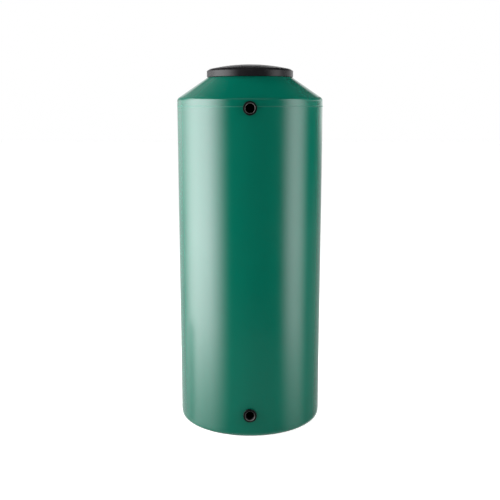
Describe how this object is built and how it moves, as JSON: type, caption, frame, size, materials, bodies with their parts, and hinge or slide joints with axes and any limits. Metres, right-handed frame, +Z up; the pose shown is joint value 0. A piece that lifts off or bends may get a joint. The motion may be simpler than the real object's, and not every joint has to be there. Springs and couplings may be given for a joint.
{
  "type": "slimline water tank",
  "caption": "Tall slim cylindrical plastic water tank with a cone shoulder, a domed screw lid and round threaded wall fittings high and low on its front.",
  "frame": {"origin": "middle of the flat base, on the surface that the tank stands on", "axes": "+Z up along the tank's axis, -Y out of the front, where both wall fittings open, +X to the right seen from the front"},
  "size_m": [0.735, 0.7499, 1.8279],
  "materials": {
    "tank_green": "satin, moulded",
    "lid_black": "satin, moulded",
    "fitting_black": "satin, moulded",
    "gasket_rubber": "matte",
    "washer_plastic": "smooth, moulded"
  },
  "bodies": {
    "tank": {"tank_shell": "tank_green", "upper_fitting_body": "fitting_black", "upper_outer_gasket": "gasket_rubber", "upper_inner_gasket": "gasket_rubber", "upper_slip_washer": "washer_plastic", "upper_lock_nut": "fitting_black", "lower_fitting_body": "fitting_black", "lower_outer_gasket": "gasket_rubber", "lower_inner_gasket": "gasket_rubber", "lower_slip_washer": "washer_plastic", "lower_lock_nut": "fitting_black"},
    "seal_ring": {"lid_seal": "gasket_rubber"},
    "lid": {"lid": "lid_black"}
  },
  "joints": [
    {"name": "lid_rise", "type": "slide", "parent": "tank", "child": "seal_ring", "axis": [0, 0, 1], "range_m": [0, 0.036]},
    {"name": "lid_turn", "type": "hinge", "parent": "seal_ring", "child": "lid", "pos_m": [0, 0, 0], "axis": [0, 0, 1], "range_deg": [0, 540]}
  ],
  "couplings": [
    {"joint": "lid_rise", "follows": "lid_turn", "m_per_rad": 0.0038197}
  ]
}
